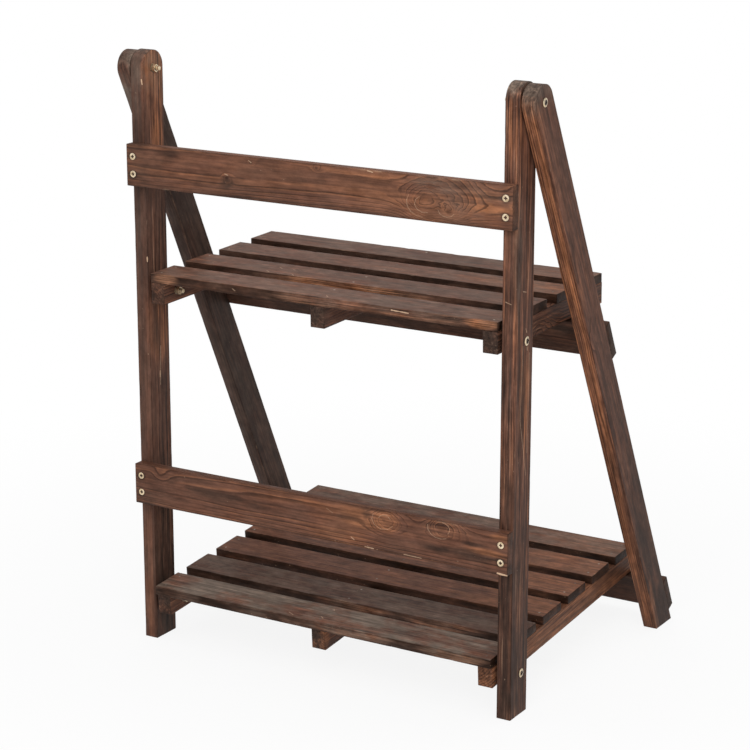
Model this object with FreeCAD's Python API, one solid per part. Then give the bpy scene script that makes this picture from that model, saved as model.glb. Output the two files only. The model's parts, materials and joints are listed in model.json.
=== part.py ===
"""Folding two-shelf plant stand: a front frame, a rear frame hinged at the top, and two slatted shelves.

Millimetres. +X is right as seen from the front, +Y is to the rear, +Z is up, and the stand is open.
"""
import FreeCAD, Part
import math
import os

Vector = FreeCAD.Vector

# Posts and rear legs are cut from the same stock
STOCK_THICKNESS = 17.0
STOCK_DEPTH = 38.0

# Front frame
POST_HEIGHT = 700.0
FRAME_WIDTH = 492.0
GUARD_THICKNESS = 12.0
GUARD_HEIGHT = 48.0
UPPER_GUARD_DROP = 103.5
LOWER_GUARD_BOTTOM = 171.5

# Rear frame: angle from the vertical, the legs' splay to the sides, the upper rail's top edge below the pivot
# and the lower rail's bottom edge above the heel, both along the leg
LEG_ANGLE = 26.3
LEG_SPLAY = 0.36
LEG_PIVOT_DROP = 20.5
REAR_RAIL_THICKNESS = 11.0
REAR_RAIL_HEIGHT = 46.0
UPPER_RAIL_REACH = 310.5
LOWER_RAIL_LIFT = 15.0

# Shelves, measured along the shelf from its pivot
SLAT_WIDTH = 46.0
SLAT_THICKNESS = 10.5
BEARER_THICKNESS = 18.0
BEARER_HEIGHT = 25.0
UPPER_PIVOT_HEIGHT = 424.5
UPPER_SLAT_COUNT = 4
UPPER_FRONT_REACH = 25.0
UPPER_BEARER_SETBACK = 0.5
UPPER_TAIL = 67.5
UPPER_SLAT_SETBACK = 0.5
LOWER_PIVOT_HEIGHT = 48.5
LOWER_SLAT_COUNT = 6
LOWER_FRONT_REACH = 30.0
LOWER_BEARER_SETBACK = 3.5
LOWER_TAIL = 2.0
LOWER_SLAT_SETBACK = 6.0

# Pivot bolts, nuts, washers and spacers
BOLT_DIAMETER = 5.0
BOLT_HEAD_DIAMETER = 10.0
BOLT_HEAD_HEIGHT = 1.4
BOLT_HEAD_RIM = 0.5
BOLT_PROJECTION = 4.0
NUT_WIDTH = 8.0
NUT_HEIGHT = 4.0
WASHER_DIAMETER = 9.5
WASHER_THICKNESS = 1.0
SPACER_DIAMETER = 12.0

# Rail screws and slat nails
SCREW_DIAMETER = 4.0
SCREW_HEAD_DIAMETER = 7.6
SCREW_LENGTH = 30.0
SCREW_TIP = 5.0
SCREW_SPACING = 20.0
NAIL_DIAMETER = 1.4
NAIL_HEAD_DIAMETER = 2.4
NAIL_HEAD_HEIGHT = 0.8
NAIL_LENGTH = 18.0
NAIL_TIP = 2.0
NAIL_SPACING = 28.0
RECESS_WIDTH = 1.6
RECESS_DEPTH = 1.0
RECESS_SHARE = 0.52

# Clearances
PIVOT_CLEARANCE = 0.08
FASTENER_CLEARANCE = 0.03
RUNNING_GAP = 0.2
SEAT_CLEARANCE = 0.3
SHELF_GAP = 4.5
HEAD_CLEARANCE = 0.3
FOLD_CLEARANCE = 1.0

# Places that follow from the sizes; Y is counted from the front face of the posts until the end
post_outer_x = FRAME_WIDTH / 2
post_inner_x = post_outer_x - STOCK_THICKNESS
post_middle_x = (post_outer_x + post_inner_x) / 2
upper_guard_bottom = POST_HEIGHT - UPPER_GUARD_DROP - GUARD_HEIGHT
leg_gap = BOLT_HEAD_HEIGHT + HEAD_CLEARANCE
leg_inner_x = post_outer_x + leg_gap
leg_outer_x = leg_inner_x + STOCK_THICKNESS
leg_middle_x = (leg_inner_x + leg_outer_x) / 2
bearer_outer_x = post_inner_x - SHELF_GAP
bearer_inner_x = bearer_outer_x - BEARER_THICKNESS

leg_pivot_y = STOCK_DEPTH / 2
leg_pivot_z = POST_HEIGHT - LEG_PIVOT_DROP
leg_sin = math.sin(math.radians(LEG_ANGLE))
leg_cos = math.cos(math.radians(LEG_ANGLE))
leg_spread = math.tan(math.radians(LEG_SPLAY))
rear_rail_back = STOCK_DEPTH / 2 + REAR_RAIL_THICKNESS
toe_along = (STOCK_DEPTH / 2 * leg_sin - leg_pivot_z) / leg_cos
heel_along = (-STOCK_DEPTH / 2 * leg_sin - leg_pivot_z) / leg_cos
lower_rail_reach = -heel_along - LOWER_RAIL_LIFT - REAR_RAIL_HEIGHT

# A raised shelf stands upright between the posts, its slats just behind the guard rails
bearer_half = BEARER_HEIGHT / 2
slat_top = bearer_half + SLAT_THICKNESS
shelf_pivot_y = slat_top + FOLD_CLEARANCE


def leg_to_stand(across, along):
    """Y and Z of a point given in the leg's own directions: to its rear, and up along it from the pivot."""
    y = leg_pivot_y + across * leg_cos - along * leg_sin
    z = leg_pivot_z + across * leg_sin + along * leg_cos
    return y, z


def shelf_rest(pivot_height, rail_reach):
    """Angle of a shelf whose bearers lie on a rear rail, and the distance along it to that rail's edge."""
    edge_y, edge_z = leg_to_stand(rear_rail_back, -rail_reach)
    ahead = edge_y - shelf_pivot_y
    above = edge_z - pivot_height
    distance = math.hypot(ahead, above)
    drop = bearer_half + SEAT_CLEARANCE
    angle = math.atan2(above, ahead) + math.asin(drop / distance)
    return math.degrees(angle), math.sqrt(distance ** 2 - drop ** 2)


upper_angle, upper_seat = shelf_rest(UPPER_PIVOT_HEIGHT, UPPER_RAIL_REACH)
lower_angle, lower_seat = shelf_rest(LOWER_PIVOT_HEIGHT, lower_rail_reach)

# The origin is on the floor, midway between the guard rails' front and the foot of the rear frame
rearmost_y, _ = leg_to_stand(rear_rail_back, heel_along + LOWER_RAIL_LIFT)
centre_y = (rearmost_y - GUARD_THICKNESS) / 2


def box(x_range, y_range, z_range):
    """Rectangular solid between two limits on each axis."""
    low = Vector(x_range[0], y_range[0], z_range[0])
    size = [limits[1] - limits[0] for limits in (x_range, y_range, z_range)]
    return Part.makeBox(size[0], size[1], size[2], low)


def round_topped_board(x_range, y_range, foot_front, foot_rear, round_z, spread=0.0):
    """Upright board with a half-round top centred at round_z and a foot that may slope and spread to +X."""
    front, rear = y_range

    def place(y, z):
        return Vector(x_range[0] + spread * (round_z - z), y, z)

    crown = place((front + rear) / 2, round_z + (rear - front) / 2)
    front_foot = place(front, foot_front)
    rear_foot = place(rear, foot_rear)
    front_spring = place(front, round_z)
    rear_spring = place(rear, round_z)
    edges = [
        Part.LineSegment(front_foot, rear_foot).toShape(),
        Part.LineSegment(rear_foot, rear_spring).toShape(),
        Part.Arc(rear_spring, crown, front_spring).toShape(),
        Part.LineSegment(front_spring, front_foot).toShape(),
    ]
    return Part.Face(Part.Wire(edges)).extrude(Vector(x_range[1] - x_range[0], 0, 0))


def turned(corners):
    """Solid of revolution about Z from corners (radius, height) that start and end on the axis."""
    points = [Vector(radius, 0, height) for radius, height in corners]
    outline = Part.makePolygon(points + points[:1])
    return Part.Face(outline).revolve(Vector(), Vector(0, 0, 1), 360)


def cross_recess(head_diameter, top):
    """Two crossed slots that reach RECESS_DEPTH below the height top, over a share of the head."""
    half_length = head_diameter * RECESS_SHARE / 2
    half_width = RECESS_WIDTH / 2
    depth = (top - RECESS_DEPTH, top)
    first = box((-half_length, half_length), (-half_width, half_width), depth)
    second = box((-half_width, half_width), (-half_length, half_length), depth)
    return first.fuse(second)


def wood_screw(clearance=0.0):
    """Countersunk screw down from the head's flat face at height 0, or its hole when given a clearance."""
    shank = SCREW_DIAMETER / 2 + clearance
    head = SCREW_HEAD_DIAMETER / 2 + clearance
    return turned([
        (0, 0),
        (head, 0),
        (shank, shank - head),
        (shank, SCREW_TIP - SCREW_LENGTH - clearance),
        (0, -SCREW_LENGTH - clearance),
    ])


def slat_nail(clearance=0.0):
    """Flat-headed nail down from height 0, or its hole when given a clearance."""
    shank = NAIL_DIAMETER / 2 + clearance
    head = NAIL_HEAD_DIAMETER / 2 + clearance
    return turned([
        (0, 0),
        (head, 0),
        (head, -NAIL_HEAD_HEIGHT - clearance),
        (shank, -NAIL_HEAD_HEIGHT - clearance),
        (shank, NAIL_TIP - NAIL_LENGTH - clearance),
        (0, -NAIL_LENGTH - clearance),
    ])


def pivot_bolt(grip):
    """Bolt along Z: domed head above height 0, plain shank below through grip, washer and nut."""
    head = BOLT_HEAD_DIAMETER / 2
    shank = BOLT_DIAMETER / 2
    length = grip + WASHER_THICKNESS + NUT_HEIGHT + BOLT_PROJECTION
    rise = BOLT_HEAD_HEIGHT - BOLT_HEAD_RIM
    dome = (head ** 2 + rise ** 2) / (2 * rise)
    half_turn = math.asin(head / dome) / 2
    rim = Vector(head, 0, BOLT_HEAD_RIM)
    top = Vector(0, 0, BOLT_HEAD_HEIGHT)
    shoulder = Vector(dome * math.sin(half_turn), 0, BOLT_HEAD_HEIGHT - dome * (1 - math.cos(half_turn)))
    seat = [Vector(head, 0, 0), Vector(shank, 0, 0)]
    end = [Vector(shank, 0, -length), Vector(0, 0, -length)]
    outline = [rim] + seat + end + [top]
    edges = [Part.Arc(top, shoulder, rim).toShape()]
    for first, second in zip(outline, outline[1:]):
        edges.append(Part.LineSegment(first, second).toShape())
    bolt = Part.Face(Part.Wire(edges)).revolve(Vector(), Vector(0, 0, 1), 360)
    return bolt.cut(cross_recess(BOLT_HEAD_DIAMETER, BOLT_HEAD_HEIGHT))


def ring(outer_diameter, height, bore_diameter):
    """Flat ring up from height 0."""
    return Part.makeCylinder(outer_diameter / 2, height).cut(Part.makeCylinder(bore_diameter / 2, height))


def hex_nut():
    """Hexagonal nut up from height 0, bored to pass the bolt."""
    corner = NUT_WIDTH / math.sqrt(3)
    turns = [math.radians(60 * step) for step in range(6)]
    points = [Vector(corner * math.cos(turn), corner * math.sin(turn), 0) for turn in turns]
    prism = Part.Face(Part.makePolygon(points + points[:1])).extrude(Vector(0, 0, NUT_HEIGHT))
    return prism.cut(Part.makeCylinder(BOLT_DIAMETER / 2 + FASTENER_CLEARANCE, NUT_HEIGHT))


def moved(shape, x, y, z):
    """Copy of a shape shifted by x, y and z."""
    copy = shape.copy()
    copy.translate(Vector(x, y, z))
    return copy


def turned_about_x(shape, degrees):
    """Copy of a shape turned about the X axis through the origin."""
    copy = shape.copy()
    copy.rotate(Vector(), Vector(1, 0, 0), degrees)
    return copy


def across(shape, x, y, z):
    """Copy of a shape modelled up along Z, laid to point along +X from the place given."""
    copy = shape.copy()
    copy.rotate(Vector(), Vector(0, 1, 0), 90)
    copy.translate(Vector(x, y, z))
    return copy


def mirrored(shape):
    """The left-hand twin of a right-hand piece."""
    return shape.mirror(Vector(), Vector(1, 0, 0))


def bolt_hole(x_range, y, z, clearance):
    """Round hole along X for a pivot bolt."""
    radius = BOLT_DIAMETER / 2 + clearance
    length = x_range[1] - x_range[0]
    return Part.makeCylinder(radius, length, Vector(x_range[0], y, z), Vector(1, 0, 0))


def screw_places(middle_x, middle_z):
    """X and Z of the screws in one rail: a pair one above the other at each end."""
    half = SCREW_SPACING / 2
    return [(side * middle_x, middle_z + step) for side in (-1, 1) for step in (-half, half)]


def front_frame():
    """Posts, guard rails and their screws."""
    pieces = {}
    bottoms = {"upper_guard_rail": upper_guard_bottom, "lower_guard_rail": LOWER_GUARD_BOTTOM}
    screws = []
    holes = []
    for bottom in bottoms.values():
        for x, z in screw_places(post_middle_x, bottom + GUARD_HEIGHT / 2):
            screw = wood_screw().cut(cross_recess(SCREW_HEAD_DIAMETER, 0))
            screws.append(moved(turned_about_x(screw, 90), x, -GUARD_THICKNESS, z))
            holes.append(moved(turned_about_x(wood_screw(FASTENER_CLEARANCE), 90), x, -GUARD_THICKNESS, z))
    for name, bottom in bottoms.items():
        rail = box((-post_outer_x, post_outer_x), (-GUARD_THICKNESS, 0), (bottom, bottom + GUARD_HEIGHT))
        pieces[name] = rail.cut(holes)
    post_x = (post_inner_x, post_outer_x)
    post = round_topped_board(post_x, (0, STOCK_DEPTH), 0, 0, POST_HEIGHT - STOCK_DEPTH / 2)
    bolt_holes = [bolt_hole(post_x, leg_pivot_y, leg_pivot_z, FASTENER_CLEARANCE)]
    for height in (UPPER_PIVOT_HEIGHT, LOWER_PIVOT_HEIGHT):
        bolt_holes.append(bolt_hole(post_x, shelf_pivot_y, height, FASTENER_CLEARANCE))
    post = post.cut(bolt_holes + holes)
    pieces["front_post_right"] = post
    pieces["front_post_left"] = mirrored(post)
    pieces["guard_rail_screws"] = Part.makeCompound(screws)
    return pieces


def rear_frame():
    """Rear legs, rear rails and their screws, made upright about the leg pivot and then leaned back."""
    half = STOCK_DEPTH / 2
    leg_x = (leg_inner_x, leg_outer_x)
    upright = {}
    screws = []
    holes = []
    reaches = {"upper_rear_rail": UPPER_RAIL_REACH, "lower_rear_rail": lower_rail_reach}
    for reach in reaches.values():
        below = reach + REAR_RAIL_HEIGHT / 2
        for x, z in screw_places(leg_middle_x + leg_spread * below, -below):
            screw = wood_screw().cut(cross_recess(SCREW_HEAD_DIAMETER, 0))
            screws.append(moved(turned_about_x(screw, -90), x, rear_rail_back, z))
            holes.append(moved(turned_about_x(wood_screw(FASTENER_CLEARANCE), -90), x, rear_rail_back, z))
    for name, reach in reaches.items():
        end_x = leg_outer_x + leg_spread * (reach + REAR_RAIL_HEIGHT / 2)
        rail = box((-end_x, end_x), (half, rear_rail_back), (-reach - REAR_RAIL_HEIGHT, -reach))
        upright[name] = rail.cut(holes)
    leg = round_topped_board(leg_x, (-half, half), toe_along, heel_along, 0, leg_spread)
    through_x = (leg_inner_x - leg_gap, leg_outer_x + leg_gap)
    leg = leg.cut([bolt_hole(through_x, 0, 0, PIVOT_CLEARANCE)] + holes)
    upright["rear_leg_right"] = leg
    upright["rear_leg_left"] = mirrored(leg)
    upright["rear_rail_screws"] = Part.makeCompound(screws)
    pieces = {}
    for name, shape in upright.items():
        pieces[name] = moved(turned_about_x(shape, LEG_ANGLE), 0, leg_pivot_y, leg_pivot_z)
    return pieces


def pivots():
    """Bolts, nuts, washers and spacers of the leg pivots and the shelf pivots."""
    pieces = {}
    washers = []
    bore = BOLT_DIAMETER + 2 * FASTENER_CLEARANCE
    washer = ring(WASHER_DIAMETER, WASHER_THICKNESS, bore)

    def add_pivot(name, head_x, nut_x, y, z):
        bolt = across(pivot_bolt(head_x - nut_x), head_x, y, z)
        nut = across(hex_nut(), nut_x - WASHER_THICKNESS - NUT_HEIGHT, y, z)
        seat = across(washer, nut_x - WASHER_THICKNESS, y, z)
        pieces[name + "_bolt_right"] = bolt
        pieces[name + "_bolt_left"] = mirrored(bolt)
        pieces[name + "_nut_right"] = nut
        pieces[name + "_nut_left"] = mirrored(nut)
        washers.extend([seat, mirrored(seat)])

    add_pivot("leg_pivot", leg_outer_x + RUNNING_GAP, post_inner_x, leg_pivot_y, leg_pivot_z)
    leg_ring = ring(SPACER_DIAMETER, leg_gap - RUNNING_GAP, bore)
    leg_spacer = across(leg_ring, post_outer_x, leg_pivot_y, leg_pivot_z)
    pieces["leg_pivot_spacers"] = Part.makeCompound([leg_spacer, mirrored(leg_spacer)])
    shelf_spacers = []
    shelf_ring = ring(SPACER_DIAMETER, SHELF_GAP - RUNNING_GAP, bore)
    heights = {"upper_shelf": UPPER_PIVOT_HEIGHT, "lower_shelf": LOWER_PIVOT_HEIGHT}
    for name, height in heights.items():
        add_pivot(name, post_outer_x, bearer_inner_x - RUNNING_GAP, shelf_pivot_y, height)
        spacer = across(shelf_ring, bearer_outer_x + RUNNING_GAP, shelf_pivot_y, height)
        shelf_spacers.extend([spacer, mirrored(spacer)])
    pieces["shelf_pivot_spacers"] = Part.makeCompound(shelf_spacers)
    pieces["pivot_washers"] = Part.makeCompound(washers)
    return pieces


def shelf(name, pivot_height, angle, slat_count, front_reach, bearer_setback, rear_reach, slat_setback):
    """Slats nailed across three bearers, made level about the shelf pivot and then tilted to rest."""
    slat_front = -front_reach
    slat_pitch = (rear_reach - slat_setback - SLAT_WIDTH - slat_front) / (slat_count - 1)
    outer_middle = (bearer_outer_x + bearer_inner_x) / 2
    bearer_places = {"left": -outer_middle, "centre": 0.0, "right": outer_middle}
    nails = []
    nail_holes = []
    for number in range(slat_count):
        middle = slat_front + number * slat_pitch + SLAT_WIDTH / 2
        for x in bearer_places.values():
            for y in (middle - NAIL_SPACING / 2, middle + NAIL_SPACING / 2):
                nails.append(moved(slat_nail(), x, y, slat_top))
                nail_holes.append(moved(slat_nail(FASTENER_CLEARANCE), x, y, slat_top))
    level = {}
    for number in range(slat_count):
        front = slat_front + number * slat_pitch
        slat = box((-bearer_outer_x, bearer_outer_x), (front, front + SLAT_WIDTH), (bearer_half, slat_top))
        level[f"{name}_slat_{number + 1}"] = slat.cut(nail_holes)
    bearer_y = (bearer_setback - front_reach, rear_reach)
    for side, x in bearer_places.items():
        bearer_x = (x - BEARER_THICKNESS / 2, x + BEARER_THICKNESS / 2)
        bearer = box(bearer_x, bearer_y, (-bearer_half, bearer_half)).cut(nail_holes)
        if side != "centre":
            bearer = bearer.cut(bolt_hole(bearer_x, 0, 0, PIVOT_CLEARANCE))
        level[f"{name}_bearer_{side}"] = bearer
    level[f"{name}_nails"] = Part.makeCompound(nails)
    pieces = {}
    for piece, shape in level.items():
        pieces[piece] = moved(turned_about_x(shape, angle), 0, shelf_pivot_y, pivot_height)
    return pieces


def stand():
    """Every piece of the stand by name, with the origin under the middle of it."""
    pieces = {}
    pieces.update(front_frame())
    pieces.update(rear_frame())
    pieces.update(pivots())
    pieces.update(shelf(
        "upper", UPPER_PIVOT_HEIGHT, upper_angle, UPPER_SLAT_COUNT, UPPER_FRONT_REACH,
        UPPER_BEARER_SETBACK, upper_seat + UPPER_TAIL, UPPER_SLAT_SETBACK))
    pieces.update(shelf(
        "lower", LOWER_PIVOT_HEIGHT, lower_angle, LOWER_SLAT_COUNT, LOWER_FRONT_REACH,
        LOWER_BEARER_SETBACK, lower_seat + LOWER_TAIL, LOWER_SLAT_SETBACK))
    return {name: moved(shape, 0, -centre_y, 0) for name, shape in pieces.items()}


os.makedirs("parts", exist_ok=True)
for node, solid in stand().items():
    solid.exportStep(os.path.join("parts", node + ".step"))
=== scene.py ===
"""Looks of a folding plant stand in scorched fir: boards with worn arrises, knots and grain, and brass fittings."""

import json
import math
import random
from typing import NamedTuple

import bpy
import numpy as np
from mathutils import Matrix, Vector, noise

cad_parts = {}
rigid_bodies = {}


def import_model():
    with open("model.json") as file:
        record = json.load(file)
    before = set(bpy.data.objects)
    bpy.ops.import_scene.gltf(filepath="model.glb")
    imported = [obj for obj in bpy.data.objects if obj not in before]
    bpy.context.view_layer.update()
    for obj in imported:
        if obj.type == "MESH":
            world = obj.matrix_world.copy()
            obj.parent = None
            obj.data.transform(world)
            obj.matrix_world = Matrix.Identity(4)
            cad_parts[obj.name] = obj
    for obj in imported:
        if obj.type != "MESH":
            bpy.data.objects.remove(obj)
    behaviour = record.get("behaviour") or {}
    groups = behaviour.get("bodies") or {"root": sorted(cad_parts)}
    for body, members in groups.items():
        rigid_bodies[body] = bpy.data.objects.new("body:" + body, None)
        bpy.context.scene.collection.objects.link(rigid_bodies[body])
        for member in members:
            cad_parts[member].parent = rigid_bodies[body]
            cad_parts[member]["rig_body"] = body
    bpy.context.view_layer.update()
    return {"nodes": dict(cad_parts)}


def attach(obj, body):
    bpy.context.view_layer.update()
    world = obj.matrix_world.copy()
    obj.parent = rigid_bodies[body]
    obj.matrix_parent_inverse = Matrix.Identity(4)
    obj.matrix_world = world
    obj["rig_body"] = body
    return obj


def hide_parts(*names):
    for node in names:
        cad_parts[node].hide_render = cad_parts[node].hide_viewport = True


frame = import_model()

MM = 0.001

# Camera, as found from the photograph
CAMERA_AZIMUTH = 30.975
CAMERA_ELEVATION = 15.356
CAMERA_DISTANCE = 2.7643
CAMERA_TARGET = Vector((-0.01626, -0.03362, 0.32048))
CAMERA_LENS = 113.85
CAMERA_SENSOR = 36.0

# Studio: the floor shows less plain white near the object, so that the shadow stays, and all white further off
FLOOR_SIZE = 30
FLOOR_GREY = (0.9, 0.9, 0.9, 1)
FLOOR_WHITE_NEAR = 0.88
FLOOR_WHITE_FADE = (0.3, 1.1)
WORLD_LIGHT = 0.5
WORLD_IN_GLOSS = 0.8
LAMP_AIM = Vector((0, 0, 0.35))

# Board meshes
ROW_STEP = 5 * MM
CORNER_STEPS = 3
CORNER_TO_ARRIS = 1.7
ROUND_STEPS = 14
ROUND_END = math.radians(86)
COLUMNS = (-1, -0.93, -0.66, -0.33, 0, 0.33, 0.66, 0.93, 1)
SLANT_FADE = 4
SIDEWAYS = 0.1
TURN_DIGITS = 4
END_REACH = 25 * MM

# Wear of the boards: how far the surface is set back, and where a point counts as end, corner or arris by its facing
SURFACE_SETBACK = 0.01 * MM
UNEVENNESS = 0.06 * MM
SWELL_CYCLES = (9, 30, 30)
ARRIS_WEAR = 0.12 * MM
BITE_CYCLES = (55, 70, 70)
CHIP_DEPTH = 1.2 * MM
CHIP_START, CHIP_RANGE = 0.42, 0.4
WEAR_SHIFT = 50
END_FACING = 0.8
CORNER_FACING = (0.3, 0.93)
ARRIS_FACING, SIDE_FACING = 0.3, 0.01
RIM_SHARE, SIDE_SHARE = 0.5, 0.25

# How boards of one kind differ
NOISE_SHIFT = 40
PITH_LEAN = 0.012
PITH_SPREAD = (0.7, 1.3)
PITH_SIDES = (1, 1, -1)
WARM_SPREAD = 0.15
CHAR_SPREAD = 0.1

# Growth rings: how far they stray, and the lines in shares of a ring; a pair says where a step is 0 and where it is 1
WANDER_DEPTH = 4.5 * MM
TREMBLE_DEPTH = 0.9 * MM
LATE_RISE, LATE_FALL = (0.66, 0.86), (1.0, 0.97)
EARLY_RISE, EARLY_FALL = (0.0, 0.05), (0.35, 0.1)
RINGS_SHOWN = (0.25, 0.6)

# Knots and patches, in shares of their reach; a rim's pair is for a soft and for a sharp patch
KNOT_SHAPE = (0.8, 1.0, 0.1)
KNOT_LEAN = -0.28
KNOT_RAGGED = 0.5
KNOT_CORE, KNOT_GLOW = (0.5, 0.1), (1.2, 0.3)
RIM_OUTER, RIM_INNER, RIM_RAGGED = (1.15, 1.03), (0.25, 0.95), (0.9, 0.05)
SCRATCH_RAGGED = 2.0
SCRATCH_RIM = (1.0, 0.4)

# Amounts in the wood's colour, light and relief
CLOUD_WARMTH, RING_WARMTH, EARLY_WARMTH, FIBRE_WARMTH = 0.4, 0.2, 0.3, 1.0
END_CHAR = 0.5
SMOKE_IN_CHAR, SMOKE_IN_SOOT_AND_SHADE = 3.0, 1.5
ASH_BLOOM = (0.3, 0.65)
FIBRE_LIGHT = 3.2
MOTTLE_LIGHT, MOTTLE_BASE = 1.2, 0.4
# Arrises darkened by soot and by painted shade, and arrises rubbed pale
SOOTY_SHADED_ARRIS, ARRIS_SOOT_AND_SHADE = (0.6, 0.45), 0.7
RUBBED_ARRIS, RUBBED_PALE = (0.58, 0.75), 0.5
FLECK_SPOT, FLECK_FIELD, FLECK_PALE = (0.74, 0.8), (0.5, 0.62), 0.35
GLINT_FIBRE, GLINT_PALE = (0.04, 0.2), 0.45
LATE_RELIEF, FIBRE_RELIEF, KNOT_RELIEF = 0.5, 0.6, -0.3
WOOD_BUMP, WOOD_BUMP_DEPTH = 0.6, 0.5 * MM
WOOD_GLOSS = 0.09
WOOD_ROUGHNESS, FIBRE_ROUGHNESS = 0.4, 0.25

# Fittings
# Painted shade in the hollows and in the middle of a bolt head, and spots of tarnishing that also serve as painted dark
# reflections
HOLLOW_REACH, HOLLOW_PAINTED_SHADE = 2.5 * MM, (0.92, 0.55)
TARNISH_AND_DARK_REFLECTION_SPOT = (0.45, 0.6)
HEAD_SHADE_MIDDLE, HEAD_RAGGED = (5.0 * MM, 4.0 * MM), 3.0 * MM
BRASS_TONES, STEEL_TONES = (0.35, 0.7), (0.4, 0.62)
BRASS_BUMP, BRASS_BUMP_DEPTH = 0.2, 0.1 * MM
BRASS_ROUGHNESS, SCUFF_ROUGHNESS = 0.22, 0.25
SCREW_TARNISH_AND_DARK_REFLECTION, NUT_TARNISH_AND_DARK_REFLECTION, BOLT_TARNISH_AND_DARK_REFLECTION = 0.35, 0.25, 0.5
STEEL_METALLIC = 0.8
STEEL_ROUGHNESS, DULL_ROUGHNESS = 0.4, 0.3


def srgb(red, green, blue):
    """Linear colour of an 8-bit screen colour."""
    def linear(level):
        share = level / 255
        return share / 12.92 if share <= 0.04045 else ((share + 0.055) / 1.055) ** 2.4
    return (linear(red), linear(green), linear(blue), 1.0)


# Colours of the scorched and brushed fir
GREY_BROWN = srgb(75, 56, 49)
BROWN = srgb(112, 74, 58)
ORANGE = srgb(160, 104, 71)
LATE_WOOD = srgb(52, 30, 21)
CHAR = srgb(56, 40, 33)
# Soot, also standing for painted shade on the narrow sides and arrises
SOOT_AND_SHADE = srgb(41, 26, 18)
ASH = srgb(119, 103, 91)
KNOT = srgb(46, 28, 23)
PALE = srgb(206, 172, 142)

# Colours of the fittings
BRASS_PALE = srgb(248, 228, 196)
BRASS_DEEP = srgb(222, 196, 156)
# Brown of the painted shade and of the tarnishing on the fittings
PAINTED_SHADE_AND_TARNISH = srgb(58, 42, 32)
STEEL_DARK = srgb(96, 84, 76)
STEEL_PALE = srgb(176, 164, 150)


class Lamp(NamedTuple):
    """Soft square lamp."""
    name: str
    place: tuple
    size: float
    power: float


class Noise(NamedTuple):
    """Noise by its cycles per metre along and across the grain, its octaves and its roughness."""
    along: float
    across: float
    detail: float
    roughness: float = 0.5


class Knot(NamedTuple):
    """Knot in a board: its middle along and across it, its reach, its rings, and how dark and how warm it is."""
    along: float
    across: float
    radius: float
    rings: float
    dark: float
    warm: float


class Patch(NamedTuple):
    """Oval where one of a board's amounts is more or less: its middle, its reach along, across and out, and its rim."""
    kind: str
    amount: float
    centre: tuple
    reach: tuple
    sharp: float = 0.0


class Scratch(NamedTuple):
    """Thin pale line between two places."""
    start: tuple
    end: tuple
    width: float
    amount: float = 1.0


LAMPS = (Lamp("key", (1.1, -2.4, 2.3), 2.4, 62), Lamp("top", (0.0, 0.3, 3.2), 2.6, 30))

# Noises of the wood
WANDER = Noise(3, 24, 2)
TREMBLE = Noise(18, 160, 2)
KNOT_NOISE = Noise(75, 95, 3)
PATCH_NOISE = Noise(9, 90, 3)
SCRATCH_NOISE = Noise(260, 260, 2)
RING_NOISE = Noise(7, 80, 3)
FIBRE = Noise(14, 360, 4, 0.62)
MOTTLE = Noise(60, 150, 4, 0.62)
BLOTCH = Noise(55, 120, 5, 0.72)
STREAK = Noise(2.5, 170, 3)
CLOUD = Noise(7, 26, 4, 0.6)
SMOKE = Noise(16, 55, 4, 0.6)
BLOOM = Noise(22, 40, 4, 0.65)
RUB = Noise(30, 45, 4, 0.65)
FLECKS = Noise(300, 520, 1)
FLECK_FIELDS = Noise(12, 30, 2)

# Noises of the fittings
BRASS_TONE = Noise(180, 180, 3)
BRASS_SCUFF = Noise(1400, 900, 2, 0.7)
TARNISH_AND_DARK_REFLECTION = Noise(420, 420, 3, 0.6)
STEEL_TONE = Noise(60, 60, 3)


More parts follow.
